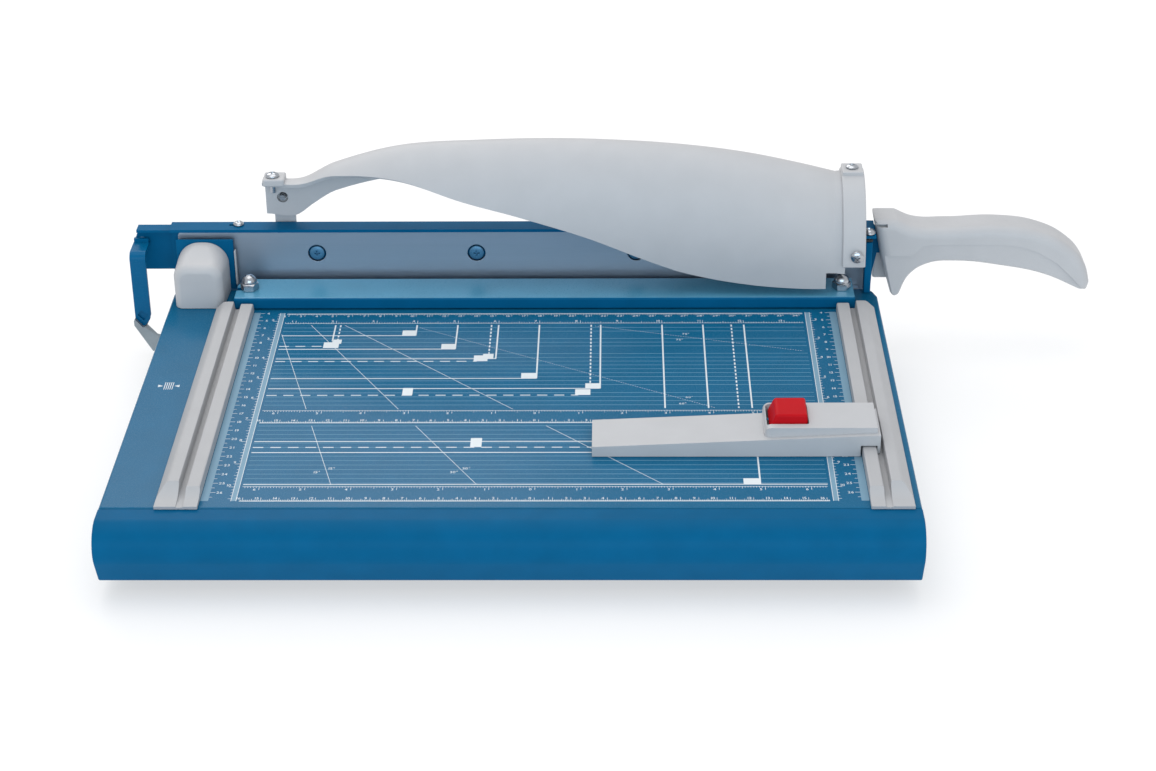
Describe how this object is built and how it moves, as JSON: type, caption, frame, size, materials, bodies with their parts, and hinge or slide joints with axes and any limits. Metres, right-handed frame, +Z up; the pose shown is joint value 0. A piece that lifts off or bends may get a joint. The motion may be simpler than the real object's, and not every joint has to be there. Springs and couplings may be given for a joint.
{
  "type": "guillotine paper cutter",
  "caption": "Desk guillotine for paper: a lever arm with guarded blade, linked sheet clamp, ruled table, side guides and a sliding back gauge.",
  "frame": {"origin": "on the desk, under the middle of the box that holds the closed cutter", "axes": "+X to the handle along the cutting edge, +Y from the user to the cutting edge, +Z up"},
  "size_m": [0.6112, 0.3226, 0.1458],
  "materials": {
    "blue_paint": "fine satin powder coat",
    "grey_plastic": "light grey fine-textured moulding",
    "red_plastic": "satin moulding",
    "blade_steel": "ground lengthwise",
    "zinc_plate": "bright zinc plate",
    "lever_steel": "dull zinc plate",
    "black_rubber": "matt"
  },
  "bodies": {
    "base": {"base_table": "blue_paint", "front_shell": "blue_paint", "left_guide": "grey_plastic", "right_guide": "grey_plastic", "bed_knife": "blade_steel", "stop_post": "blue_paint", "stop_buffer": "black_rubber", "front_cross_rail": "zinc_plate", "rear_cross_rail": "zinc_plate", "front_left_foot": "black_rubber", "front_right_foot": "black_rubber", "rear_left_foot": "black_rubber", "rear_right_foot": "black_rubber", "pivot_bracket": "blue_paint", "pivot_cap": "grey_plastic", "pivot_bolt": "zinc_plate", "pivot_nut": "zinc_plate", "pivot_washer": "zinc_plate", "lever_hanger": "zinc_plate", "lever_axle": "zinc_plate"},
    "clamp": {"clamp_bar": "blue_paint", "clamp_pad": "black_rubber", "clamp_yoke": "zinc_plate", "cap_nut_left": "zinc_plate", "cap_nut_right": "zinc_plate", "clamp_rod_left": "zinc_plate", "clamp_rod_right": "zinc_plate", "rod_nut_left": "zinc_plate", "rod_nut_right": "zinc_plate", "clamp_spring_left": "zinc_plate", "clamp_spring_right": "zinc_plate"},
    "arm": {"arm_beam": "blue_paint", "arm_tail": "blue_paint", "blade": "blade_steel", "blade_screw_1": "blue_paint", "blade_screw_2": "blue_paint", "blade_screw_3": "blue_paint", "blade_screw_4": "blue_paint", "handle_front": "grey_plastic", "handle_rear": "grey_plastic", "flange_screw": "zinc_plate", "stop_bolt": "zinc_plate", "guard_shell": "grey_plastic", "guard_ring": "grey_plastic", "guard_bracket": "grey_plastic", "tip_screw": "zinc_plate", "ring_screw_upper": "zinc_plate", "ring_screw_lower": "zinc_plate", "bracket_screw": "zinc_plate"},
    "strap": {"link_strap": "blue_paint"},
    "lever": {"clamp_lever": "lever_steel"},
    "gauge": {"gauge_body": "grey_plastic", "gauge_brake_pad": "black_rubber"},
    "button": {"gauge_button": "red_plastic", "button_spring": "zinc_plate"}
  },
  "joints": [
    {"name": "arm_pivot", "type": "hinge", "parent": "base", "child": "arm", "pos_m": [-0.25955, 0.1407, 0.063], "axis": [0, -1, 0], "range_deg": [0, 30]},
    {"name": "clamp_lift", "type": "slide", "parent": "base", "child": "clamp", "axis": [0, 0, 1], "range_m": [0, 0.0038], "deforming": ["clamp_spring_left", "clamp_spring_right"]},
    {"name": "strap_hang", "type": "hinge", "parent": "arm", "child": "strap", "pos_m": [-0.30005, 0.1407, 0.0745], "axis": [0, -1, 0], "range_deg": [-30.5, 0]},
    {"name": "lever_rock", "type": "hinge", "parent": "base", "child": "lever", "pos_m": [-0.25535, 0.1305, 0.022], "axis": [0, -1, 0], "range_deg": [0, 8.5]},
    {"name": "gauge_slide", "type": "slide", "parent": "base", "child": "gauge", "axis": [0, 1, 0], "range_m": [-0.037, 0.148]},
    {"name": "button_press", "type": "slide", "parent": "gauge", "child": "button", "axis": [0, 0, -1], "range_m": [0, 0.0025], "stiffness_N_per_m": 400, "springref_m": -0.002, "deforming": ["button_spring"]}
  ],
  "couplings": [
    {"joint": "clamp_lift", "follows": "arm_pivot", "m_per_rad": 0.007},
    {"joint": "strap_hang", "follows": "arm_pivot", "ratio": -1},
    {"joint": "lever_rock", "follows": "arm_pivot", "ratio": 0.27}
  ]
}
